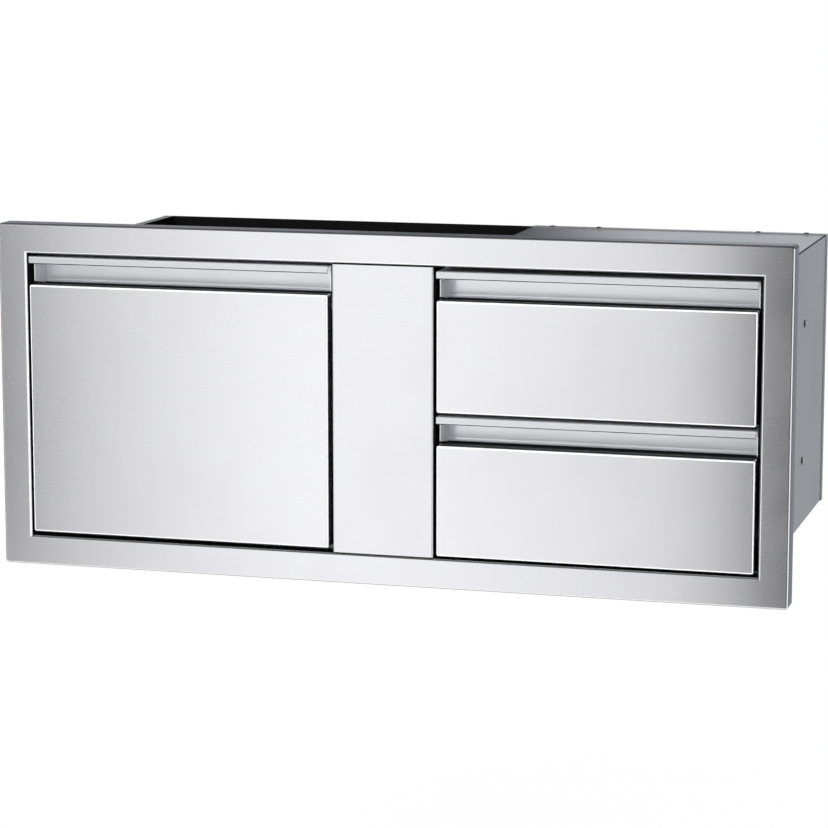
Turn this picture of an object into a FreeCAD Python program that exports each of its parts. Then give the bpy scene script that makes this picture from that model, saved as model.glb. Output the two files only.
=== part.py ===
"""Built-in stainless drawer unit: one deep drawer beside a stack of two, behind one trim frame.

Millimetres. X runs to the right, Y into the cabinet and Z up. Y = 0 is the plane on which the
trim frame seats against an enclosure, X = 0 the middle of the unit and Z = 0 the middle of the
frame's lower rear hem. The drawers run out along -Y.
"""
import FreeCAD, Part
import os
import math

# Trim frame
flange_width = 1124.0
flange_height = 487.0
flange_depth = 32.0
flange_border = 41.5
frame_sheet = 1.5
frame_bend = 3.0
frame_corner = 5.0
opening_bend = 3.2
rear_hem = 12.0
inner_return = 24.0

# Mullion between the bays
mullion_width = 143.0
mullion_seam = 1.8
mullion_return = 63.0
mullion_bend = 1.8
bracket_width = 138.0
bracket_leg = 18.0

# Cabinet body
body_depth = 536.0
body_sheet = 1.2
body_top_drop = 1.6
body_bottom_rise = 2.6
body_flange = 12.0
rail_depth = 41.0
rail_drop = 22.0
rail_clearance = 0.4
lid_bend = 2.6
wall_centre_distance = 154.0
carrier_drop = 68.0
rear_wrap = 12.0

# Holes in the side panels, for screws into the enclosure
mount_hole_radius = 3.0
mount_hole_front = 50.0
mount_hole_pitch_y = 120.0
mount_hole_inset_z = 83.5

# Drawer fronts
front_depth = 18.0
front_sheet = 1.0
front_bend = 2.8
front_side_gap = 5.3
front_gap = 5.5
left_front_shift = -1.8
right_front_shift = -0.9
left_bottom_gap = 6.5
left_top_gap = 4.8
right_bottom_gap = 4.1
right_top_gap = 7.2
recess_height = 29.8
lip_height = 10.2
lip_sheet = 1.2
lip_bend = 2.6
channel_depth = 42.0
channel_bend = 8.0
recess_drop = 5.0
foot_drop = 23.0

# Drawer boxes
box_sheet = 1.0
box_lift = 10.0
box_rear_clearance = 34.0
box_top_gap = 1.0
box_hem = 8.0

# Ball-bearing slides, three members each
slide_front = 36.0
slide_rear_gap = 41.8
slide_drop = 37.6
slide_height = 45.7
slide_thickness = 12.7
slide_sheet = 1.2
slide_gap = 0.3
ball_radius = 2.0
ball_clearance = 0.1
ball_count = 4
cage_sheet = 0.6
cage_length = 200.0

# Fasteners
screw_head_radius = 6.0
screw_head_height = 2.8
screw_radius = 2.5
screw_fit = 0.05
slide_screw_front = 29.0
slide_screw_pitch = 268.0
box_screw_head_radius = 4.0
box_screw_head_height = 1.8
box_screw_inset = 30.0
rivet_head_radius = 4.2
rivet_head_height = 1.5
rivet_radius = 1.6
rivet_insets = (29.0, 101.0)

# Places worked out from the sizes above
half_width = flange_width / 2
front_y = -flange_depth
frame_bottom = -rear_hem / 2
frame_top = frame_bottom + flange_height
open_x = half_width - flange_border
open_bottom = frame_bottom + flange_border
open_top = frame_top - flange_border
plate_back = front_y + frame_sheet
return_back = front_y + inner_return
wall_inner = open_x + frame_sheet
wall_outer = wall_inner + body_sheet
body_top = open_top - body_top_drop
body_bottom = open_bottom + body_bottom_rise
floor_top = body_bottom + body_sheet
ceiling = body_top - body_sheet
rear_inner = body_depth - body_sheet
mullion_x = mullion_width / 2
mullion_back = front_y + mullion_return
divider_outer = wall_centre_distance / 2 - body_sheet / 2
divider_inner = divider_outer + body_sheet
bay_centre = (open_x + mullion_x) / 2
front_back = front_y + front_depth
liner_back = front_back + front_sheet
channel_back = liner_back + channel_depth
slide_length = rear_inner - slide_rear_gap - slide_front
cage_start = (slide_length - cage_length) / 2
box_back = rear_inner - box_rear_clearance
open_height = open_top - open_bottom
front_width = open_x - mullion_x - 2 * front_side_gap
front_height_single = (open_height - right_bottom_gap - front_gap - right_top_gap) / 2
front_height_deep = open_height - left_bottom_gap - left_top_gap
handle_height = lip_height + recess_height


def box_height(front_height):
    """The height of the drawer box that fits under the handle of a front."""
    return front_height - handle_height - foot_drop - box_top_gap - box_lift


slide_rise = box_lift + box_height(front_height_single) - slide_drop

DRAWERS = {
    "large": {
        "centre": -bay_centre + left_front_shift,
        "bottom": open_bottom + left_bottom_gap,
        "height": front_height_deep,
        "walls": (-wall_inner, -divider_inner),
    },
    "upper": {
        "centre": bay_centre + right_front_shift,
        "bottom": open_bottom + right_bottom_gap + front_height_single + front_gap,
        "height": front_height_single,
        "walls": (divider_inner, wall_inner),
    },
    "lower": {
        "centre": bay_centre + right_front_shift,
        "bottom": open_bottom + right_bottom_gap,
        "height": front_height_single,
        "walls": (divider_inner, wall_inner),
    },
}


def block(x0, x1, y0, y1, z0, z1):
    """A box between two corners, given in any order."""
    low = FreeCAD.Vector(min(x0, x1), min(y0, y1), min(z0, z1))
    return Part.makeBox(abs(x1 - x0), abs(y1 - y0), abs(z1 - z0), low)


def rod(radius, start, end):
    """A cylinder from one point to another."""
    start = FreeCAD.Vector(*start)
    run = FreeCAD.Vector(*end) - start
    return Part.makeCylinder(radius, run.Length, start, run)


def fuse(shapes):
    """One clean solid from overlapping or touching shapes."""
    first, rest = shapes[0], shapes[1:]
    return first.multiFuse(rest).removeSplitter() if rest else first


def save(node, solids):
    """Write one node, a single solid or a group of separate solids."""
    solids = solids if isinstance(solids, list) else [solids]
    shape = solids[0] if len(solids) == 1 else Part.makeCompound(solids)
    shape.exportStep("parts/" + node + ".step")


def round_edges(shape, radius, wanted):
    """Fillet the edges for which wanted(edge) is true."""
    edges = [edge for edge in shape.Edges if wanted(edge)]
    return shape.makeFillet(radius, edges)


def along(edge, axis):
    """True for a straight edge that runs along the given axis, 0, 1 or 2."""
    ends = [vertex.Point for vertex in edge.Vertexes]
    if len(ends) < 2:
        return False
    run = ends[1] - ends[0]
    return abs(abs(run[axis]) - run.Length) < 1e-6


def on_plane(edge, axis, value):
    """True when the whole edge lies on the plane where a coordinate has a value."""
    return all(abs(vertex.Point[axis] - value) < 1e-6 for vertex in edge.Vertexes)


def screw(head_radius, head_height, radius, seat, direction, length):
    """A fastener whose domed head stands on seat and whose shank runs the other way."""
    rim = head_height * 0.35
    dome = head_height - rim
    dome_radius = (head_radius ** 2 + dome ** 2) / (2 * dome)
    half_angle = math.asin(head_radius / dome_radius) / 2
    middle = (dome_radius * math.sin(half_angle),
              head_height - dome_radius * (1 - math.cos(half_angle)))

    def at(out, up):
        return FreeCAD.Vector(out, 0, up)

    corners = [at(0, head_height), at(0, -length), at(radius, -length), at(radius, 0),
               at(head_radius, 0), at(head_radius, rim)]
    edges = [Part.makeLine(start, end) for start, end in zip(corners, corners[1:])]
    edges.append(Part.Arc(at(head_radius, rim), at(*middle), at(0, head_height)).toShape())
    body = Part.Face(Part.Wire(edges)).revolve(FreeCAD.Vector(0, 0, 0), FreeCAD.Vector(0, 0, 1))
    turn = FreeCAD.Rotation(FreeCAD.Vector(0, 0, 1), FreeCAD.Vector(*direction))
    body.Placement = FreeCAD.Placement(FreeCAD.Vector(*seat), turn)
    return body


def trim_frame():
    """The outer frame: face, outer skirt with a rear hem, and returns around the opening."""
    outer = block(-half_width, half_width, front_y, 0, frame_bottom, frame_top)
    outer = round_edges(outer, frame_corner, lambda e: along(e, 1))
    outer = round_edges(outer, frame_bend, lambda e: on_plane(e, 1, front_y))
    sheet = frame_sheet
    hollow = block(-half_width + sheet, half_width - sheet, plate_back, -sheet,
                   frame_bottom + sheet, frame_top - sheet)
    hollow = round_edges(hollow, frame_corner - sheet, lambda e: along(e, 1))
    window = block(-half_width + rear_hem, half_width - rear_hem, -2 * sheet, sheet,
                   frame_bottom + rear_hem, frame_top - rear_hem)
    collar = block(-wall_inner, wall_inner, plate_back - sheet / 2, return_back,
                   open_bottom - sheet, open_top + sheet)
    opening = block(-open_x, open_x, front_y - sheet, return_back + sheet, open_bottom, open_top)
    frame = outer.cut(hollow).cut(window).fuse(collar).cut(opening).removeSplitter()

    def opening_rim(edge):
        inside = [abs(v.Point.x) < open_x + 1e-6 and open_bottom - 1e-6 < v.Point.z < open_top + 1e-6
                  for v in edge.Vertexes]
        return on_plane(edge, 1, front_y) and all(inside)

    return round_edges(frame, opening_bend, opening_rim)


def mullion_panel():
    """The panel between the bays, a deep channel whose rear lips carry the inner walls."""
    low = open_bottom + mullion_seam
    high = open_top - mullion_seam
    sheet = frame_sheet
    outer = block(-mullion_x, mullion_x, front_y, mullion_back, low, high)
    outer = round_edges(outer, mullion_bend, lambda e: along(e, 2) and on_plane(e, 1, front_y))
    channel = outer.cut(block(-mullion_x + sheet, mullion_x - sheet, plate_back,
                              mullion_back + sheet, low - sheet, high + sheet))
    for level, outward in ((floor_top, -1), (ceiling, 1)):
        channel = channel.cut(block(-mullion_x - sheet, mullion_x + sheet, return_back,
                                    mullion_back + sheet, level, level + outward * body_flange))
    lips = [block(side * (mullion_x - sheet), side * divider_inner,
                  mullion_back, mullion_back + body_sheet, floor_top, ceiling)
            for side in (-1, 1)]
    return fuse([channel] + lips)


def mullion_brackets():
    """Angles that hang the mullion from the frame's top return and stand it on the bottom one."""
    brackets = []
    for level, inward in ((open_top, -1), (open_bottom, 1)):
        flat = block(-bracket_width / 2, bracket_width / 2, plate_back, plate_back + bracket_leg,
                     level, level + inward * body_sheet)
        upright = block(-bracket_width / 2, bracket_width / 2, plate_back,
                        plate_back + body_sheet, level, level + inward * bracket_leg)
        brackets.append(fuse([flat, upright]))
    return brackets


def slide_screw_places():
    """Every screw that holds a slide to a wall: seat on the wall's far face, and its direction."""
    places = []
    for drawer in DRAWERS.values():
        level = drawer["bottom"] + slide_rise
        for wall, inward in zip(drawer["walls"], (1, -1)):
            for step in range(2):
                y = slide_front + slide_screw_front + step * slide_screw_pitch
                places.append(((wall - inward * body_sheet, y, level), (-inward, 0, 0)))
    return places


def drill_slide_holes(panel):
    """Cut the slide screws' holes through a wall of the body."""
    box = panel.BoundBox
    for seat, direction in slide_screw_places():
        if box.XMin - 1 < seat[0] < box.XMax + 1:
            start = (seat[0] + direction[0] * body_sheet, seat[1], seat[2])
            end = (seat[0] - direction[0] * 2 * body_sheet, seat[1], seat[2])
            panel = panel.cut(rod(screw_radius + screw_fit, start, end))
    return panel


def side_panel(side):
    """An outer side of the body, lapped over the frame's return and flanged at the front."""
    web = block(side * wall_inner, side * wall_outer, plate_back, rear_inner,
                body_bottom, body_top)
    front = block(side * wall_inner, side * (wall_inner + body_flange), plate_back,
                  plate_back + body_sheet, body_bottom, body_top)
    pieces = [web, front]
    if side < 0:
        pieces.append(block(side * wall_inner, side * (wall_inner - body_flange),
                            return_back + rail_depth, rear_inner, ceiling, body_top))
    panel = fuse(pieces)
    for y in (mount_hole_front, mount_hole_front + mount_hole_pitch_y):
        for z in (frame_bottom + mount_hole_inset_z, frame_top - mount_hole_inset_z):
            panel = panel.cut(rod(mount_hole_radius, (side * (wall_inner - 1), y, z),
                                  (side * (wall_outer + 1), y, z)))
    return drill_slide_holes(panel)


def inner_wall(side, top):
    """A wall behind the mullion that carries slides: the divider, or the lower carrier panel."""
    inner, outer = side * divider_inner, side * divider_outer
    front = mullion_back + body_sheet
    web = block(outer, inner, front, rear_inner, floor_top, top)
    foot = block(outer, outer - side * body_flange, front, rear_inner - body_sheet,
                 floor_top, floor_top + body_sheet)
    rear = block(outer, outer - side * body_flange, rear_inner - body_sheet, rear_inner,
                 floor_top, top)
    return drill_slide_holes(fuse([web, foot, rear]))


def top_panel():
    """The lid of the right bay, turned up at the front and bent down along its outer side."""
    left = divider_outer
    front = return_back + body_sheet
    bend_x = wall_inner - lid_bend
    bend_z = body_top - lid_bend
    start, end = (bend_x, front, bend_z), (bend_x, rear_inner, bend_z)
    lid = block(left, bend_x, return_back, rear_inner, ceiling, body_top)
    lip = block(left, wall_inner, return_back, front, ceiling, open_top + frame_sheet)
    side = block(wall_inner - body_sheet, wall_inner, front, rear_inner,
                 ceiling - body_flange, bend_z)
    bend = rod(lid_bend, start, end).cut(rod(lid_bend - body_sheet, start, end))
    bend = bend.common(block(bend_x, wall_inner, front, rear_inner, bend_z, body_top))
    panel = fuse([lid, lip, side, bend])
    for x, y in rivet_row(1):
        panel = panel.cut(rod(rivet_radius + screw_fit, (x, y, ceiling - 1), (x, y, body_top + 1)))
    return panel


def front_rail():
    """The rail that ties the front of the open left bay together, above its drawer."""
    rear = return_back + rail_depth
    inner = -mullion_x + frame_sheet
    web = block(-wall_inner, inner, return_back, rear, ceiling, body_top)
    lip = block(-wall_inner, inner, return_back, return_back + body_sheet,
                ceiling, open_top + frame_sheet)
    drop = block(-wall_inner, -divider_inner - rail_clearance, rear - body_sheet, rear,
                 ceiling - rail_drop, body_top)
    return fuse([web, lip, drop])


def bottom_panel():
    """The floor of both bays, turned down at the front and up along its sides."""
    floor = block(-wall_inner, wall_inner, return_back, rear_inner, body_bottom, floor_top)
    lip = block(-wall_inner, wall_inner, return_back, return_back + body_sheet,
                open_bottom - frame_sheet, floor_top)
    pieces = [floor, lip]
    for side in (-1, 1):
        pieces.append(block(side * (wall_inner - body_sheet), side * wall_inner,
                            return_back, rear_inner, body_bottom, body_bottom + body_flange))
    panel = fuse(pieces)
    for x, y in rivet_row(-1) + rivet_row(1):
        panel = panel.cut(rod(rivet_radius + screw_fit, (x, y, body_bottom - 1),
                              (x, y, floor_top + 1)))
    return panel


def rear_panel(side):
    """A rear panel whose edges wrap forward over the body, left (-1) or right (1)."""
    outer_x = side * (wall_outer + body_sheet)
    top = body_top + body_sheet if side > 0 else body_top
    panel = block(divider_outer, outer_x, body_depth - rear_wrap, body_depth,
                  body_bottom - body_sheet, top)
    inside_top = body_top if side > 0 else body_top + body_sheet
    panel = panel.cut(block(divider_outer - side * body_sheet, side * wall_outer,
                            body_depth - 2 * rear_wrap, rear_inner, body_bottom, inside_top))
    hole = rivet_radius + screw_fit
    for x, y in rivet_row(side):
        panel = panel.cut(rod(hole, (x, y, body_bottom + 1), (x, y, body_bottom - 2)))
        if side > 0:
            panel = panel.cut(rod(hole, (x, y, body_top - 1), (x, y, body_top + 2)))
    return panel


def rivet_row(side):
    """Where the rivets stand along the rear edge of one bay: two near each end."""
    y = body_depth - rear_wrap / 2
    outer = [wall_inner - inset for inset in rivet_insets]
    inner = [divider_outer + inset for inset in rivet_insets]
    return [(side * x, y) for x in inner + outer]


def body_rivets():
    """The rivets that close the rear edges of the body, on top of the right bay and below."""
    places = [(x, y, body_top + body_sheet, 1) for x, y in rivet_row(1)]
    places += [(x, y, body_bottom - body_sheet, -1) for x, y in rivet_row(-1) + rivet_row(1)]
    return [screw(rivet_head_radius, rivet_head_height, rivet_radius, (x, y, z), (0, 0, up),
                  2 * body_sheet)
            for x, y, z, up in places]


def slide_screws():
    """The screws that hold the slides, with their heads outside the walls."""
    length = body_sheet + slide_sheet
    return [screw(screw_head_radius, screw_head_height, screw_radius, seat, direction, length)
            for seat, direction in slide_screw_places()]


def front_ends(drawer):
    """The left and right ends of a drawer front."""
    return drawer["centre"] - front_width / 2, drawer["centre"] + front_width / 2


def front_levels(drawer):
    """Bottom edge, top edge of the flat panel, and top of the handle lip."""
    top = drawer["bottom"] + drawer["height"]
    return drawer["bottom"], top - handle_height, top


def front_panel(drawer):
    """The visible flat front, a pan with its edges turned back."""
    left, right = front_ends(drawer)
    bottom, panel_top, _ = front_levels(drawer)
    sheet = front_sheet
    pan = block(left, right, front_y, front_back, bottom, panel_top)
    pan = round_edges(pan, front_bend, lambda e: along(e, 1) or on_plane(e, 1, front_y))
    hollow = block(left + sheet, right - sheet, front_y + sheet, front_back + sheet,
                   bottom + sheet, panel_top - sheet)
    hollow = round_edges(hollow, front_bend - sheet,
                         lambda e: along(e, 1) or on_plane(e, 1, front_y + sheet))
    return pan.cut(hollow)


def front_liner(drawer):
    """The plate that closes the back of the pan and carries the handle and the box."""
    left, right = front_ends(drawer)
    bottom, panel_top, _ = front_levels(drawer)
    liner = block(left, right, front_back, liner_back, bottom, panel_top)
    for x, y, z in front_screw_places(drawer):
        liner = liner.cut(rod(screw_radius + screw_fit, (x, front_back - 1, z),
                              (x, liner_back + 1, z)))
    return liner


def recess_section(drawer, inset, x0, x1):
    """The space behind the lip, shrunk by an inset: flat roof and back, rounded rear floor."""
    _, panel_top, top = front_levels(drawer)
    floor = panel_top - recess_drop
    space = block(x0, x1, liner_back, channel_back - inset, floor + inset, top - inset)
    corner_y = channel_back - channel_bend
    corner_z = floor + channel_bend
    corner = block(x0, x1, corner_y, channel_back, floor, corner_z)
    round_part = rod(channel_bend - inset, (x0, corner_y, corner_z), (x1, corner_y, corner_z))
    return space.cut(corner).fuse(round_part.common(corner)).removeSplitter()


def handle_channel(drawer):
    """The handle: a hemmed lip in front of a trough for the fingers, bent from one sheet."""
    left, right = front_ends(drawer)
    _, panel_top, top = front_levels(drawer)
    sheet = lip_sheet
    lip_bottom = top - lip_height
    straight = top - lip_bend
    bend_y = front_y + lip_bend
    lip = block(left, right, front_y, front_y + 2 * sheet, lip_bottom, straight)
    lip = round_edges(lip, sheet * 0.95, lambda e: along(e, 0) and on_plane(e, 2, lip_bottom))
    bend = rod(lip_bend, (left, bend_y, straight), (right, bend_y, straight))
    bend = bend.cut(rod(lip_bend - sheet, (left, bend_y, straight), (right, bend_y, straight)))
    bend = bend.common(block(left, right, front_y, bend_y, straight, top))
    roof = block(left, right, bend_y, liner_back, top - sheet, top)
    trough = recess_section(drawer, 0, left, right)
    trough = trough.cut(recess_section(drawer, sheet, left, right))
    foot = block(left, right, liner_back, liner_back + sheet,
                 panel_top - foot_drop, panel_top - recess_drop)
    return fuse([lip, bend, roof, trough, foot])


def handle_end_caps(drawer):
    """Plates that close both ends of the trough."""
    left, right = front_ends(drawer)
    return [recess_section(drawer, lip_sheet, end, end + inward * lip_sheet)
            for end, inward in ((left, 1), (right, -1))]


def box_ends(drawer):
    """The outer faces of a drawer box, one slide's thickness in from the walls."""
    left, right = drawer["walls"]
    return left + slide_thickness, right - slide_thickness


def box_levels(drawer):
    """The underside and the top edge of a drawer box."""
    low = drawer["bottom"] + box_lift
    return low, low + box_height(drawer["height"])


def box_sides(drawer):
    """Both sides of a drawer box, each with a hem turned inward along the top."""
    left, right = box_ends(drawer)
    low, high = box_levels(drawer)
    sides = []
    for end, inward in ((left, 1), (right, -1)):
        web = block(end, end + inward * box_sheet, liner_back, box_back, low, high)
        hem = block(end, end + inward * box_hem, liner_back, box_back, high - box_sheet, high)
        foot = block(end, end + inward * box_hem, liner_back, box_back, low, low + box_sheet)
        side = fuse([web, hem, foot])
        side = round_edges(side, box_sheet * 0.7,
                           lambda e: along(e, 1) and on_plane(e, 0, end) and on_plane(e, 2, high))
        for y in slide_member_screws():
            level = drawer["bottom"] + slide_rise
            side = side.cut(rod(screw_radius + screw_fit, (end - inward, y, level),
                                (end + inward * 2, y, level)))
        sides.append(side)
    return sides


def box_floor(drawer):
    """The floor of a drawer box, laid on the feet of its sides."""
    left, right = box_ends(drawer)
    low, _ = box_levels(drawer)
    return block(left + box_sheet, right - box_sheet, liner_back + box_sheet,
                 box_back - box_sheet, low + box_sheet, low + 2 * box_sheet)


def box_rear(drawer):
    """The back of a drawer box, hemmed forward along the top."""
    left, right = box_ends(drawer)
    low, high = box_levels(drawer)
    top = high - box_sheet
    web = block(left + box_sheet, right - box_sheet, box_back - box_sheet, box_back,
                low + box_sheet, top)
    hem = block(left + box_hem, right - box_hem, box_back - box_hem, box_back,
                top, high)
    return fuse([web, hem])


def box_front(drawer):
    """The front wall of a drawer box, screwed to the liner."""
    left, right = box_ends(drawer)
    low, high = box_levels(drawer)
    top = high - box_sheet
    web = block(left + box_sheet, right - box_sheet, liner_back, liner_back + box_sheet,
                low + box_sheet, top)
    hem = block(left + box_hem, right - box_hem, liner_back, liner_back + box_hem, top, high)
    wall = fuse([web, hem])
    for x, y, z in front_screw_places(drawer):
        wall = wall.cut(rod(screw_radius + screw_fit, (x, liner_back - 1, z),
                            (x, liner_back + 3 * box_sheet, z)))
    return wall


def front_screw_places(drawer):
    """Four screws near the corners of the box's front wall."""
    left, right = box_ends(drawer)
    low, high = box_levels(drawer)
    return [(x, liner_back + box_sheet, z)
            for x in (left + box_screw_inset, right - box_screw_inset)
            for z in (low + box_screw_inset, high - box_screw_inset)]


def drawer_screws(drawer):
    """The screws inside a drawer box: four into the front and two into each slide."""
    screws = []
    reach = box_sheet + front_sheet
    for place in front_screw_places(drawer):
        screws.append(screw(box_screw_head_radius, box_screw_head_height, screw_radius,
                            place, (0, 1, 0), reach))
    level = drawer["bottom"] + slide_rise
    for end, inward in zip(box_ends(drawer), (1, -1)):
        for y in slide_member_screws():
            screws.append(screw(box_screw_head_radius, box_screw_head_height, screw_radius,
                                (end + inward * box_sheet, y, level), (inward, 0, 0),
                                box_sheet + slide_sheet))
    return screws


def slide_member_screws():
    """How far back the screws between a box and its slides stand."""
    return [slide_front + slide_screw_front + step * slide_screw_pitch for step in range(2)]


def slide_levels():
    """Half heights in a slide, from the outermost face to the innermost."""
    outer = slide_height / 2
    outer_race = outer - slide_sheet
    middle = outer_race - 2 * (ball_radius + ball_clearance)
    middle_race = middle - slide_sheet
    inner = middle_race - 2 * (ball_radius + ball_clearance)
    return outer, outer_race, middle, middle_race, inner


def slide_stations():
    """Distances from the wall at which the nested members and cages of a slide begin."""
    outer_cage = slide_sheet + slide_gap
    middle = outer_cage + cage_sheet + slide_gap
    inner_cage = middle + slide_sheet + slide_gap
    inner = inner_cage + cage_sheet + slide_gap
    return outer_cage, middle, inner_cage, inner


def channel_section(wall, inward, web, reach, half, sheet, level, start, length):
    """A channel open to one side: its web at one distance from the wall, its lips to another."""
    turn = 1 if reach > web else -1
    body = block(wall + inward * web, wall + inward * reach, start, start + length,
                 level - half, level + half)
    hollow = block(wall + inward * (web + turn * sheet), wall + inward * (reach + turn),
                   start - 1, start + length + 1, level - half + sheet, level + half - sheet)
    return body.cut(hollow)


def slide_members(drawer, member):
    """One kind of slide member, a left and a right one."""
    outer, _, middle, _, inner = slide_levels()
    _, middle_start, _, inner_start = slide_stations()
    level = drawer["bottom"] + slide_rise
    lips = slide_thickness - slide_sheet - slide_gap
    sections = {
        "cabinet": (0.0, lips - slide_gap, outer),
        "middle": (middle_start, lips, middle),
        "drawer": (slide_thickness, inner_start, inner),
    }
    web, reach, half = sections[member]
    members = []
    for wall, inward in zip(drawer["walls"], (1, -1)):
        piece = channel_section(wall, inward, web, reach, half, slide_sheet, level,
                                slide_front, slide_length)
        if member != "middle":
            for y in slide_member_screws():
                piece = piece.cut(rod(screw_radius + screw_fit,
                                      (wall + inward * (web - 2), y, level),
                                      (wall + inward * (web + 2), y, level)))
        members.append(piece)
    return members


def ball_cages(drawer, which):
    """A left and a right ball cage, each a thin channel with its bearing balls."""
    _, outer_race, _, middle_race, _ = slide_levels()
    outer_cage, _, inner_cage, _ = slide_stations()
    race, web = {"outer": (outer_race, outer_cage), "inner": (middle_race, inner_cage)}[which]
    ball_level = race - ball_radius - ball_clearance
    reach = web + cage_sheet + 2.6 * ball_radius
    ball_out = web + cage_sheet + 1.3 * ball_radius
    level = drawer["bottom"] + slide_rise
    start = slide_front + cage_start
    half = ball_level + cage_sheet / 2
    pieces = []
    for wall, inward in zip(drawer["walls"], (1, -1)):
        cage = channel_section(wall, inward, web, reach, half, cage_sheet, level,
                               start, cage_length)
        balls = []
        spacing = cage_length / ball_count
        for index in range(ball_count):
            for up in (-1, 1):
                centre = FreeCAD.Vector(wall + inward * ball_out,
                                        start + spacing * (index + 0.5),
                                        level + up * ball_level)
                pocket = rod(ball_radius + ball_clearance, centre - FreeCAD.Vector(0, 0, 1),
                             centre + FreeCAD.Vector(0, 0, 1))
                cage = cage.cut(pocket)
                balls.append(Part.makeSphere(ball_radius, centre))
        pieces.append(cage)
        pieces.extend(balls)
    return pieces


os.makedirs("parts", exist_ok=True)

save("trim_frame", trim_frame())
save("mullion_panel", mullion_panel())
save("mullion_brackets", mullion_brackets())
save("left_side_panel", side_panel(-1))
save("right_side_panel", side_panel(1))
save("bay_divider", inner_wall(1, ceiling))
save("slide_carrier_panel", inner_wall(-1, ceiling - carrier_drop))
save("top_panel", top_panel())
save("front_rail", front_rail())
save("bottom_panel", bottom_panel())
save("rear_panel_left", rear_panel(-1))
save("rear_panel_right", rear_panel(1))
save("body_rivets", body_rivets())
save("slide_screws", slide_screws())

for name, drawer in DRAWERS.items():
    save(name + "_front_panel", front_panel(drawer))
    save(name + "_front_liner", front_liner(drawer))
    save(name + "_handle_channel", handle_channel(drawer))
    save(name + "_handle_end_caps", handle_end_caps(drawer))
    save(name + "_box_sides", box_sides(drawer))
    save(name + "_box_floor", box_floor(drawer))
    save(name + "_box_rear", box_rear(drawer))
    save(name + "_box_front", box_front(drawer))
    save(name + "_box_screws", drawer_screws(drawer))
    for member in ("cabinet", "middle", "drawer"):
        save(name + "_slide_" + member + "_members", slide_members(drawer, member))
    for which in ("outer", "inner"):
        save(name + "_" + which + "_ball_cages", ball_cages(drawer, which))
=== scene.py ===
import math

import bpy
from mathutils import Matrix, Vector

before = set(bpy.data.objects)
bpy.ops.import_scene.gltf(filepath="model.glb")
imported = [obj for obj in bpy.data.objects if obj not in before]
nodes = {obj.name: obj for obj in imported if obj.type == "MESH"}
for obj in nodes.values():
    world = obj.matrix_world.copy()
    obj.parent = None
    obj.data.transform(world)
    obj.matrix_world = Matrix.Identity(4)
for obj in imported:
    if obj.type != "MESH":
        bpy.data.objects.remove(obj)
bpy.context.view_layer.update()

# Directions in the part's frame
RIGHT, LEFT = (1, 0, 0), (-1, 0, 0)
REAR, FRONT = (0, 1, 0), (0, -1, 0)
UP, DOWN = (0, 0, 1), (0, 0, -1)

# Camera, in metres and degrees
CAMERA_AZIMUTH = 15.777
CAMERA_ELEVATION = 9.399
CAMERA_DISTANCE = 4.1525
FOCAL_PIXELS = 3036.0
IMAGE_WIDTH = 828.0
SENSOR = 36.0
AIM = Vector((0.0, -0.032, 0.234))
AIM_SIDE_STEP = 0.043

# Heights of the drawers' upper edges and of their handles, in metres
DRAWER_TOP = {"large": 0.4347, "upper": 0.4323, "lower": 0.2332}
LIP_HEIGHT = 0.0102
TROUGH_DEPTH = 0.0450

# Boxes in metres, low and high corner, that hold the part of a piece which gets painted shade, and on the
# rim a painted highlight
OPENING_RETURNS = ((-0.5222, -0.0300, 0.0340), (0.5222, 0.0, 0.4412))
OPENING_RIM = ((-0.5239, -0.0330, 0.0321), (0.5239, -0.0286, 0.4429))
BEHIND_MULLION_FACE = ((-1.0, -0.0304, -1.0), (1.0, 1.0, 1.0))
SEAM_SHADE_ON_SIDE = ((0.52, 0.0, 0.4370), (0.53, 0.53, 0.4385))
SEAM_SHADE_ON_LID = ((0.5206, -0.0065, 0.40), (0.53, 0.53, 0.45))

# Where the painted shade line along each outer bend of the frame starts, and the share of light it keeps
OUTER_BEND_SHADE_LINES = ((UP, 0.20, 0.12), (RIGHT, 0.78, 0.12), (LEFT, 0.30, 0.12), (DOWN, 0.50, 0.35))

# Colours and grey levels of the sheets, and of the painted shade and painted highlight on them
STEEL_TINT = (0.965, 0.965, 1.0)
BODY_TINT = (0.80, 0.85, 1.0)
RECESS_TINT = (0.95, 0.963, 1.0)
ZINC_TINT = (0.97, 0.99, 1.0)
# Painted light and shade: the side panel is set lighter and the lid darker than the rest of the body's
# sheet
BODY_LEVEL, SIDE_PAINTED_LIGHT_LEVEL, LID_PAINTED_SHADE_LEVEL = 0.66, 0.73, 0.62
BODY_ROUGHNESS = 0.22
# Near-black of the painted shade in the gaps, on the opening's returns and inside the left bay
SHADE_BLACK_LEVEL = 0.006
SEAM_SHADE_LEVEL = 0.01
SKIRT_SHADE_SHARE = 0.6
BEND_HIGHLIGHT_SCATTER = 0.6

# Grain of the brushed sheets: features per metre along and across it, and its depth in metres
HAIR_ALONG, HAIR_ACROSS = 2.5, 900.0
STREAK_ALONG, STREAK_ACROSS = 1.2, 160.0
CLOUD_SCALE = 5.0
STREAK_SHARE = 0.035
STAIN_SHARE = 0.04
GRAIN_BUMP = 0.004
GRAIN_DEPTH = 0.0002
BEND_ROUGHNESS_DROP = 0.55

# Keeps the highlight's direction from vanishing on faces that look along the grain
GRAIN_NUDGE = (0.013, 0.021, 0.034)

# The studio, in metres
FLOOR_Z = -0.60
FLOOR_HALF_WIDTH, FLOOR_FRONT, FLOOR_BACK = 4, -0.9, 5
FRONT_CARDS_Y, FRONT_CARDS_FOOT = -2.0, -3.0
ROOM_BACK, ROOM_SIDE, ROOM_TOP, ROOM_FLOOR = 3.2, 4.0, 2.4, -0.58
SIDE_CARD_WIDTH_IN_X = 0.001


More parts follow.
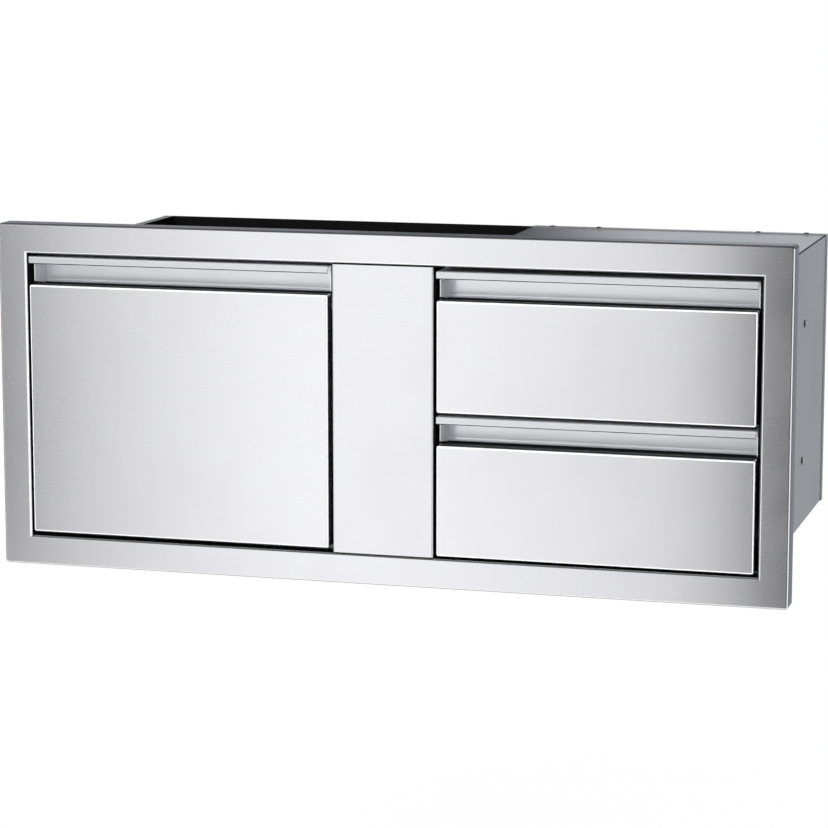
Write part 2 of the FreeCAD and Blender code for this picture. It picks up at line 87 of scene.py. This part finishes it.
class Shader:
    """A node material that is filled in step by step."""

    def __init__(self, name, surface="ShaderNodeBsdfPrincipled"):
        self.material = bpy.data.materials.new(name)
        self.material.use_nodes = True
        self.tree = self.material.node_tree
        self.tree.nodes.clear()
        output = self.node("ShaderNodeOutputMaterial")
        self.body = self.node(surface)
        self.link(self.body.outputs[0], output.inputs["Surface"])
        self.place = self.node("ShaderNodeTexCoord").outputs["Object"]

    def node(self, kind, **settings):
        made = self.tree.nodes.new(kind)
        for key, value in settings.items():
            setattr(made, key, value)
        return made

    def link(self, start, end):
        self.tree.links.new(start, end)

    def put(self, value, socket):
        """A number, colour or vector goes on the socket, an output is linked to it."""
        if isinstance(value, bpy.types.NodeSocket):
            self.link(value, socket)
        else:
            socket.default_value = value

    def math(self, operation, first, second=0.0, clamp=False):
        made = self.node("ShaderNodeMath", operation=operation, use_clamp=clamp)
        self.put(first, made.inputs[0])
        self.put(second, made.inputs[1])
        return made.outputs[0]

    def ramp(self, value, low, high, low_out=0.0, high_out=1.0):
        """Maps a value smoothly from one range to another."""
        made = self.node("ShaderNodeMapRange", interpolation_type="SMOOTHSTEP")
        for index, item in enumerate((value, low, high, low_out, high_out)):
            self.put(item, made.inputs[index])
        return made.outputs[0]

    def mix(self, factor, first, second, blend="MIX"):
        made = self.node("ShaderNodeMix", data_type="RGBA", blend_type=blend)
        self.put(factor, made.inputs["Factor"])
        self.put(first, made.inputs[6])
        self.put(second, made.inputs[7])
        return made.outputs[2]

    def split(self, vector):
        """The X, Y and Z parts of a vector."""
        made = self.node("ShaderNodeSeparateXYZ")
        self.link(vector, made.inputs[0])
        return made.outputs

    def normal(self):
        return self.node("ShaderNodeNewGeometry").outputs["Normal"]

    def dot(self, first, second):
        made = self.node("ShaderNodeVectorMath", operation="DOT_PRODUCT")
        self.put(first, made.inputs[0])
        self.put(second, made.inputs[1])
        return made.outputs["Value"]

    def noise(self, scale, detail=3.0, roughness=0.5, offset=0.0):
        """Noise whose size along X, Y and Z is set by three scales, per metre."""
        stretch = self.node("ShaderNodeMapping")
        stretch.inputs["Scale"].default_value = scale
        stretch.inputs["Location"].default_value = (offset, offset, offset)
        self.link(self.place, stretch.inputs["Vector"])
        made = self.node("ShaderNodeTexNoise")
        made.inputs["Scale"].default_value = 1.0
        made.inputs["Detail"].default_value = detail
        made.inputs["Roughness"].default_value = roughness
        self.link(stretch.outputs["Vector"], made.inputs["Vector"])
        return made.outputs["Fac"]

    def grain_direction(self, axis):
        """The way a highlight spreads: across a grain that runs along the axis."""
        cross = self.node("ShaderNodeVectorMath", operation="CROSS_PRODUCT")
        self.link(self.normal(), cross.inputs[0])
        cross.inputs[1].default_value = [part + nudge for part, nudge in zip(axis, GRAIN_NUDGE)]
        unit = self.node("ShaderNodeVectorMath", operation="NORMALIZE")
        self.link(cross.outputs[0], unit.inputs[0])
        return unit.outputs[0]

    def edges(self, radius):
        """1 on edges, where wear and a painted highlight go; 0 on flat faces."""
        bevel = self.node("ShaderNodeBevel", samples=4)
        bevel.inputs["Radius"].default_value = radius
        return self.ramp(self.dot(bevel.outputs[0], self.normal()), 0.98, 0.80)

    def source(self, name):
        """What is linked to one of the shader's inputs."""
        return self.body.inputs[name].links[0].from_socket


def grey(value, tint=(1.0, 1.0, 1.0)):
    return (value * tint[0], value * tint[1], value * tint[2], 1.0)


def brushed(name, level, roughness, grain_axis=RIGHT, anisotropy=0.75, tint=STEEL_TINT):
    """Brushed stainless sheet with grain, soft stains, and slightly polished edges, lightened as wear and
    as a painted highlight.
    """
    shader = Shader(name)
    hair_scale = tuple(HAIR_ALONG if part else HAIR_ACROSS for part in grain_axis)
    streak_scale = tuple(STREAK_ALONG if part else STREAK_ACROSS for part in grain_axis)
    hair = shader.noise(hair_scale, detail=4.0, roughness=0.6)
    streak = shader.noise(streak_scale, detail=3.0, roughness=0.55, offset=3.1)
    cloud = shader.noise((CLOUD_SCALE,) * 3, detail=4.0, roughness=0.6, offset=7.7)
    wear_and_highlight = shader.edges(0.0012)
    base = shader.math("ADD", 1.0 - STREAK_SHARE, shader.math("MULTIPLY", hair, STREAK_SHARE))
    base = shader.math("ADD", base, shader.math("MULTIPLY", streak, STREAK_SHARE))
    base = shader.math("SUBTRACT", base, shader.ramp(cloud, 0.45, 0.75, 0.0, STAIN_SHARE))
    # Edges lighter: wear, and a painted highlight
    base = shader.math("ADD", base, shader.math("MULTIPLY", wear_and_highlight, 0.05), clamp=True)
    rough = shader.math("ADD", roughness - 0.035, shader.math("MULTIPLY", hair, 0.03))
    rough = shader.math("ADD", rough, shader.ramp(cloud, 0.35, 0.75, 0.0, 0.06))
    rough = shader.math("SUBTRACT", rough, shader.math("MULTIPLY", wear_and_highlight, 0.08))
    bump = shader.node("ShaderNodeBump")
    bump.inputs["Strength"].default_value = GRAIN_BUMP
    bump.inputs["Distance"].default_value = GRAIN_DEPTH
    shader.link(hair, bump.inputs["Height"])
    colour = shader.mix(base, grey(level * 0.55, tint), grey(level, tint))
    shader.put(colour, shader.body.inputs["Base Color"])
    shader.put(rough, shader.body.inputs["Roughness"])
    shader.put(bump.outputs["Normal"], shader.body.inputs["Normal"])
    shader.put(shader.grain_direction(grain_axis), shader.body.inputs["Tangent"])
    shader.body.inputs["Metallic"].default_value = 1.0
    shader.body.inputs["Anisotropic"].default_value = anisotropy
    return shader


def satin(name, level, roughness, tint=(1.0, 1.0, 1.0), mottle=0.12):
    """Zinc-plated or plain small steel with mottling, and edges lightened as wear and as a painted
    highlight.
    """
    shader = Shader(name)
    cloud = shader.noise((90.0, 90.0, 90.0), detail=4.0, roughness=0.65)
    spot = shader.noise((14.0, 14.0, 14.0), detail=3.0, offset=2.3)
    wear_and_highlight = shader.edges(0.0008)
    base = shader.math("SUBTRACT", 1.0, shader.math("MULTIPLY", cloud, mottle))
    base = shader.math("SUBTRACT", base, shader.ramp(spot, 0.45, 0.8, 0.0, mottle), clamp=True)
    # Edges lighter: wear, and a painted highlight
    base = shader.math("ADD", base, shader.math("MULTIPLY", wear_and_highlight, 0.1), clamp=True)
    colour = shader.mix(base, grey(level * 0.4, tint), grey(level, tint))
    rough = shader.math("ADD", roughness, shader.math("MULTIPLY", cloud, 0.14))
    shader.put(colour, shader.body.inputs["Base Color"])
    shader.put(rough, shader.body.inputs["Roughness"])
    shader.body.inputs["Metallic"].default_value = 1.0
    return shader


def polish_bends(shader):
    """Makes folded edges smoother than the flat sheet between them, and tells where they are."""
    sides = [shader.math("ABSOLUTE", part) for part in shader.split(shader.normal())]
    most = shader.math("MAXIMUM", shader.math("MAXIMUM", sides[0], sides[1]), sides[2])
    bend = shader.ramp(most, 0.993, 0.960)
    kept = shader.math("SUBTRACT", 1.0, shader.math("MULTIPLY", bend, BEND_ROUGHNESS_DROP))
    rough = shader.math("MULTIPLY", shader.source("Roughness"), kept)
    shader.put(rough, shader.body.inputs["Roughness"])
    return bend


def scatter(shader, factor, share):
    """Lets the metal scatter light where the factor is 1, so that a folded edge stays bright as a painted
    highlight; painted shade uses it to turn matt.
    """
    metallic = shader.body.inputs["Metallic"]
    old = shader.source("Metallic") if metallic.links else metallic.default_value
    kept = shader.math("SUBTRACT", 1.0, shader.math("MULTIPLY", factor, share))
    shader.put(shader.math("MULTIPLY", old, kept), metallic)


def paint_shade(shader, factor, level):
    """Paints shade: turns the part of a sheet where the factor is 1 into a dark matt surface."""
    colour = shader.mix(factor, shader.source("Base Color"), grey(level))
    shader.put(colour, shader.body.inputs["Base Color"])
    scatter(shader, factor, 1.0)
    rougher = shader.math("MULTIPLY", factor, 0.4)
    rough = shader.math("ADD", shader.source("Roughness"), rougher, clamp=True)
    shader.put(rough, shader.body.inputs["Roughness"])
    shader.body.inputs["Specular IOR Level"].default_value = 0.06


def tone_down(shader, factor, share, tint=(1.0, 1.0, 1.0)):
    """Makes the metal duller where the factor is 1; used for painted shade."""
    colour = shader.mix(factor, shader.source("Base Color"), grey(share, tint), blend="MULTIPLY")
    shader.put(colour, shader.body.inputs["Base Color"])


def facing(shader, axis, low=0.6, high=0.8):
    """1 where a face looks along the axis."""
    return shader.ramp(shader.dot(shader.normal(), axis), low, high)


def turned_back(shader):
    """1 on faces that look sideways, up or down, 0 on faces that look to the front or rear."""
    flat = shader.math("MAXIMUM", facing(shader, FRONT, 0.2, 0.4), facing(shader, REAR, 0.2, 0.4))
    return shader.math("SUBTRACT", 1.0, flat)


def inside_box(shader, low, high):
    """1 for the points of a piece that lie in a box given in metres, 0 outside."""
    found = 1.0
    for part, low_part, high_part in zip(shader.split(shader.place), low, high):
        above = shader.math("GREATER_THAN", part, low_part)
        below = shader.math("LESS_THAN", part, high_part)
        found = shader.math("MULTIPLY", found, shader.math("MULTIPLY", above, below))
    return found


def frame_finish():
    """The trim frame: a painted highlight on the rim's bends, and painted shade on the opening's returns,
    on the skirt and as dark lines along its outer bends.
    """
    shader = brushed("frame_steel", 0.95, 0.28, anisotropy=0.85)
    bends = polish_bends(shader)
    in_opening = inside_box(shader, *OPENING_RETURNS)
    outside = shader.math("SUBTRACT", 1.0, in_opening)
    # Painted shade: the opening's returns, seen in the gaps around the drawers, are made near-black
    paint_shade(shader, shader.math("MULTIPLY", turned_back(shader), in_opening), SHADE_BLACK_LEVEL)
    rim = inside_box(shader, *OPENING_RIM)
    # Painted highlight: the rim's bends scatter light and stay white
    scatter(shader, shader.math("MULTIPLY", bends, rim), BEND_HIGHLIGHT_SCATTER)
    # Painted shade: outside the opening, the frame's faces that look sideways, up or down are made duller
    # and bluer
    skirt = shader.math("MULTIPLY", turned_back(shader), outside)
    tone_down(shader, skirt, SKIRT_SHADE_SHARE, BODY_TINT)
    # Painted shade: dark lines along the frame's outer bends
    for axis, start, share in OUTER_BEND_SHADE_LINES:
        bend = shader.math("SUBTRACT", facing(shader, axis, start, start + 0.10),
                           facing(shader, axis, 0.98, 0.995))
        tone_down(shader, shader.math("MULTIPLY", bend, outside), share)
    return shader


def mullion_finish():
    """The mullion: a brushed face, and painted shade on the sides behind it."""
    shader = brushed("mullion_steel", 0.95, 0.29, anisotropy=0.85)
    polish_bends(shader)
    behind_face = inside_box(shader, *BEHIND_MULLION_FACE)
    # Painted shade: the sides behind the mullion's face, seen in the gaps, are made near-black
    paint_shade(shader, shader.math("MULTIPLY", turned_back(shader), behind_face), SHADE_BLACK_LEVEL)
    return shader


def front_finish():
    """The drawers' fronts: bends kept bright as a painted highlight, and an upper edge painted dark as
    the shadow of the trough.
    """
    shader = brushed("front_steel", 0.98, 0.29, anisotropy=0.85)
    # Painted highlight: the fronts' bends scatter light and stay bright
    scatter(shader, polish_bends(shader), BEND_HIGHLIGHT_SCATTER)
    # Painted shadow: the fronts' upward faces, under the trough, are made dark
    paint_shade(shader, facing(shader, UP, 0.95, 0.99), 0.04)
    return shader


def recess_finish(drawer, top):
    """The handle's soft satin steel, with painted shade at the foot of the trough, under the lip and on
    the lip's front.
    """
    shader = brushed(drawer + "_recess_steel", 0.94, 0.22, anisotropy=0.4, tint=RECESS_TINT)
    shader.body.inputs["Metallic"].default_value = 0.5
    # Painted shade: the lip's front is toned down against the rest of the same sheet, which stays bright
    # so the trough reads lit
    tone_down(shader, inside_box(shader, (-1.0, -0.0330, top - 0.03), (1.0, -0.0285, top + 0.01)), 0.60)
    # Painted shade: the upward faces at the foot of the trough are made near-black
    foot = top - TROUGH_DEPTH
    low = shader.ramp(shader.split(shader.place)["Z"], foot + 0.012, foot + 0.010)
    paint_shade(shader, shader.math("MULTIPLY", facing(shader, UP, 0.50, 0.80), low), 0.008)
    # Painted shadow: a dark line under the lip's hem
    lip_foot = top - LIP_HEIGHT
    under_lip = inside_box(shader, (-1.0, -0.034, lip_foot - 0.001), (1.0, -0.020, lip_foot + 0.0012))
    paint_shade(shader, under_lip, 0.02)
    return shader


def cap_finish(drawer, top):
    """The end plates of the handle, with painted shade along the slanted foot of the trough."""
    shader = brushed(drawer + "_cap_steel", 0.97, 0.35, anisotropy=0.2, tint=RECESS_TINT)
    shader.body.inputs["Metallic"].default_value = 0.3
    foot = top - TROUGH_DEPTH
    place = shader.split(shader.place)
    slanted = shader.math("ADD", place["Z"], shader.math("MULTIPLY", place["Y"], 0.16))
    # Painted shade along the slanted foot of the trough
    paint_shade(shader, shader.ramp(slanted, foot + 0.0070, foot + 0.0058), 0.008)
    return shader


def body_finish(name, grain_axis=REAR, level=BODY_LEVEL):
    """The duller, bluer sheet of the body."""
    return brushed(name, level, BODY_ROUGHNESS, grain_axis, anisotropy=0.3, tint=BODY_TINT)


def shade_black_finish():
    """Near-black all over as painted shade: for the sheets inside the left bay, the mullion's brackets
    and the slide carrier.
    """
    shader = brushed("dark_lining", SHADE_BLACK_LEVEL, 0.9, grain_axis=REAR, anisotropy=0.2,
                     tint=(1.0, 1.0, 1.0))
    shader.body.inputs["Metallic"].default_value = 0.0
    shader.body.inputs["Specular IOR Level"].default_value = 0.06
    return shader


def rivet_finish():
    """Blackened steel rivets."""
    shader = satin("rivet_metal", 0.03, 0.50)
    shader.body.inputs["Metallic"].default_value = 0.0
    shader.body.inputs["Specular IOR Level"].default_value = 0.1
    return shader


body_steel = body_finish("body_steel")
liner_steel = body_finish("liner_steel", RIGHT)
back_steel = body_finish("back_steel", RIGHT)
# Painted shade: the rear panel's inner face, inside the right bay, is made dark grey
paint_shade(back_steel, facing(back_steel, FRONT), 0.24)
# Painted shade: the inner faces of the left bay's wall and rear panel are made near-black
left_wall_steel = body_finish("left_wall_steel")
paint_shade(left_wall_steel, facing(left_wall_steel, RIGHT), SHADE_BLACK_LEVEL)
left_back_steel = body_finish("left_back_steel", RIGHT)
paint_shade(left_back_steel, facing(left_back_steel, FRONT), SHADE_BLACK_LEVEL)
shade_black = shade_black_finish()

# A painted shadow line in the seam between the lid and the side panel
side_steel = body_finish("side_steel", level=SIDE_PAINTED_LIGHT_LEVEL)
paint_shade(side_steel, inside_box(side_steel, *SEAM_SHADE_ON_SIDE), SEAM_SHADE_LEVEL)
lid_steel = body_finish("lid_steel", level=LID_PAINTED_SHADE_LEVEL)
paint_shade(lid_steel, inside_box(lid_steel, *SEAM_SHADE_ON_LID), SEAM_SHADE_LEVEL)

front_steel = front_finish()
box_steel = brushed("box_steel", 0.55, 0.42, grain_axis=REAR, anisotropy=0.4)
zinc = satin("zinc", 0.62, 0.30, ZINC_TINT)
cage_metal = satin("cage_metal", 0.50, 0.28)
screw_metal = satin("screw_metal", 0.42, 0.12, mottle=0.05)

# The screw heads on the walls: bright faces, and painted shade on the flanks that look to the front
head_metal = satin("head_metal", 0.90, 0.25, mottle=0.05)
paint_shade(head_metal, facing(head_metal, FRONT, 0.25, 0.50), 0.01)

FINISH = {
    "trim_frame": frame_finish(),
    "mullion_panel": mullion_finish(),
    "mullion_brackets": shade_black,
    "left_side_panel": left_wall_steel,
    "right_side_panel": side_steel,
    "bay_divider": body_steel,
    "slide_carrier_panel": shade_black,
    "top_panel": lid_steel,
    "front_rail": body_steel,
    "bottom_panel": body_steel,
    "rear_panel_left": left_back_steel,
    "rear_panel_right": back_steel,
    "body_rivets": rivet_finish(),
    "slide_screws": head_metal,
}
for drawer, top in DRAWER_TOP.items():
    FINISH[drawer + "_front_panel"] = front_steel
    FINISH[drawer + "_front_liner"] = liner_steel
    FINISH[drawer + "_handle_channel"] = recess_finish(drawer, top)
    FINISH[drawer + "_handle_end_caps"] = cap_finish(drawer, top)
    for part in ("sides", "floor", "rear", "front"):
        FINISH[drawer + "_box_" + part] = box_steel
    FINISH[drawer + "_box_screws"] = screw_metal
    for member in ("cabinet", "middle", "drawer"):
        FINISH[drawer + "_slide_" + member + "_members"] = zinc
    for which in ("outer", "inner"):
        FINISH[drawer + "_" + which + "_ball_cages"] = cage_metal

for name, shader in FINISH.items():
    slots = nodes[name].material_slots
    for slot in slots:
        slot.material = shader.material
    if not slots:
        nodes[name].data.materials.append(shader.material)


def stage_plane(name, corners, material):
    """A flat piece of the studio with the given corners."""
    mesh = bpy.data.meshes.new(name)
    mesh.from_pydata(corners, [], [list(range(len(corners)))])
    plane = bpy.data.objects.new(name, mesh)
    bpy.context.scene.collection.objects.link(plane)
    mesh.materials.append(material)
    return plane


def floor_material():
    """A white floor: plain white to the camera, with a trace of the object's shadow."""
    shader = Shader("floor_white", "ShaderNodeMixShader")
    diffuse = shader.node("ShaderNodeBsdfDiffuse")
    diffuse.inputs["Color"].default_value = grey(0.9)
    glow = shader.node("ShaderNodeEmission")
    glow.inputs["Strength"].default_value = 1.0
    path = shader.node("ShaderNodeLightPath")
    seen = shader.math("MAXIMUM", path.outputs["Is Camera Ray"], path.outputs["Is Glossy Ray"])
    seen = shader.math("MAXIMUM", seen, path.outputs["Is Transmission Ray"])
    shader.link(shader.math("MULTIPLY", seen, 0.96), shader.body.inputs[0])
    shader.link(diffuse.outputs[0], shader.body.inputs[1])
    shader.link(glow.outputs[0], shader.body.inputs[2])
    return shader.material


def graded_material(name, start, end, start_level, end_level):
    """A grey that changes evenly along X from one level to another."""
    shader = Shader(name, "ShaderNodeEmission")
    level = shader.node("ShaderNodeMapRange")
    place = shader.split(shader.place)["X"]
    for index, item in enumerate((place, start, end, start_level, end_level)):
        shader.put(item, level.inputs[index])
    shader.link(level.outputs[0], shader.body.inputs["Strength"])
    return shader.material


def card(name, corners, material):
    """A grey card of the studio that shows only in reflections."""
    plane = stage_plane(name, corners, material)
    plane.visible_camera = False
    plane.visible_diffuse = False
    plane.visible_shadow = False
    plane.visible_transmission = False


def front_card(name, x0, x1, level0, level1, top=1.5):
    """An upright card in front of the unit, graded from its left edge to its right one."""
    y, foot = FRONT_CARDS_Y, FRONT_CARDS_FOOT
    corners = [(x0, y, foot), (x1, y, foot), (x1, y, top), (x0, y, top)]
    card(name, corners, graded_material(name, x0, x1, level0, level1))


def upright_card(name, start, end, level0, level1):
    """A grey wall card between two floor points, graded along X from the first to the second."""
    corners = [(*start, ROOM_FLOOR), (*end, ROOM_FLOOR), (*end, ROOM_TOP), (*start, ROOM_TOP)]
    last_x = end[0] + SIDE_CARD_WIDTH_IN_X
    card(name, corners, graded_material(name, start[0], last_x, level0, level1))


def level_card(name, x0, x1, y0, y1, z, level):
    """A grey card that lies level above or below the unit."""
    corners = [(x0, y0, z), (x1, y0, z), (x1, y1, z), (x0, y1, z)]
    card(name, corners, graded_material(name, x0, x1, level, level))


def area_light(name, place, target, width, depth, power):
    """A soft lamp that lights the unit but doesn't show in it."""
    data = bpy.data.lights.new(name, "AREA")
    data.shape = "RECTANGLE"
    data.size, data.size_y = width, depth
    data.energy = power
    light = bpy.data.objects.new(name, data)
    bpy.context.scene.collection.objects.link(light)
    light.location = place
    direction = Vector(target) - Vector(place)
    light.rotation_mode = "QUATERNION"
    light.rotation_quaternion = direction.to_track_quat("-Z", "Y")
    light.visible_glossy = False


stage_plane("floor", [(-FLOOR_HALF_WIDTH, FLOOR_FRONT, FLOOR_Z), (FLOOR_HALF_WIDTH, FLOOR_FRONT, FLOOR_Z),
                      (FLOOR_HALF_WIDTH, FLOOR_BACK, FLOOR_Z), (-FLOOR_HALF_WIDTH, FLOOR_BACK, FLOOR_Z)],
            floor_material())

# Each card: its left and right edge, and the grey level at each of them
front_card("card_left_far", -2.3, -1.53, 0.03, 0.0, top=1.0)
front_card("card_left", -1.55, -1.28, 0.0, 0.68, top=1.0)
front_card("card_left_near", -1.28, -0.80, 0.68, 1.0, top=1.0)
front_card("card_right_near", -0.5, 0.13, 0.97, 0.76)
front_card("card_right", 0.13, 0.20, 0.76, 0.0, top=3.0)
front_card("card_right_far", 0.20, 1.7, 0.0, 0.0, top=3.0)

# Grey walls beside and behind the unit and above it, for the faces that are seen at a low angle
upright_card("card_back_far_left", (-ROOM_SIDE, ROOM_BACK), (-1.5, ROOM_BACK), 0.40, 0.30)
upright_card("card_back_left", (-1.5, ROOM_BACK), (-0.65, ROOM_BACK), 0.30, 0.02)
upright_card("card_back_middle", (-0.65, ROOM_BACK), (-0.26, ROOM_BACK), 0.02, 0.62)
upright_card("card_back_right", (-0.26, ROOM_BACK), (1.4, ROOM_BACK), 0.62, 0.33)
upright_card("card_back_far", (1.4, ROOM_BACK), (ROOM_SIDE, ROOM_BACK), 0.33, 0.30)
upright_card("card_side_left", (-ROOM_SIDE, 1.2), (-ROOM_SIDE, ROOM_BACK), 0.3, 0.3)
upright_card("card_side_right", (ROOM_SIDE, 0.8), (ROOM_SIDE, ROOM_BACK), 0.36, 0.36)
level_card("card_top", -ROOM_SIDE, ROOM_SIDE, 0.5, ROOM_BACK, ROOM_TOP, 0.3)
level_card("card_foot", 0.6, ROOM_SIDE, 0.2, ROOM_BACK, ROOM_FLOOR, 0.36)

area_light("key", (-1.6, -2.6, 3.2), (0, 0.2, 0.2), 2.4, 1.6, 60.0)
area_light("fill", (2.6, -1.6, 2.0), (0, 0.2, 0.2), 2.0, 2.0, 18.0)
area_light("front", (-0.4, -3.6, 0.35), (0, 0, 0.25), 2.4, 1.2, 50.0)

world = bpy.data.worlds.new("studio")
bpy.context.scene.world = world
world.use_nodes = True
world.node_tree.nodes.clear()
sky = world.node_tree.nodes.new("ShaderNodeBackground")
sky.inputs["Color"].default_value = grey(1.0)
sky.inputs["Strength"].default_value = 1.0
sky_output = world.node_tree.nodes.new("ShaderNodeOutputWorld")
world.node_tree.links.new(sky.outputs[0], sky_output.inputs["Surface"])

azimuth = math.radians(CAMERA_AZIMUTH)
elevation = math.radians(CAMERA_ELEVATION)
back = Vector((math.sin(azimuth) * math.cos(elevation), -math.cos(azimuth) * math.cos(elevation),
               math.sin(elevation)))
side = Vector((math.cos(azimuth), math.sin(azimuth), 0.0))
target = AIM + side * AIM_SIDE_STEP
lens = bpy.data.cameras.new("camera")
lens.sensor_width = SENSOR
lens.lens = FOCAL_PIXELS / IMAGE_WIDTH * SENSOR
camera = bpy.data.objects.new("camera", lens)
bpy.context.scene.collection.objects.link(camera)
camera.location = target + back * CAMERA_DISTANCE
camera.rotation_mode = "QUATERNION"
camera.rotation_quaternion = (-back).to_track_quat("-Z", "Y")
bpy.context.scene.camera = camera
bpy.context.scene.view_settings.view_transform = "Standard"
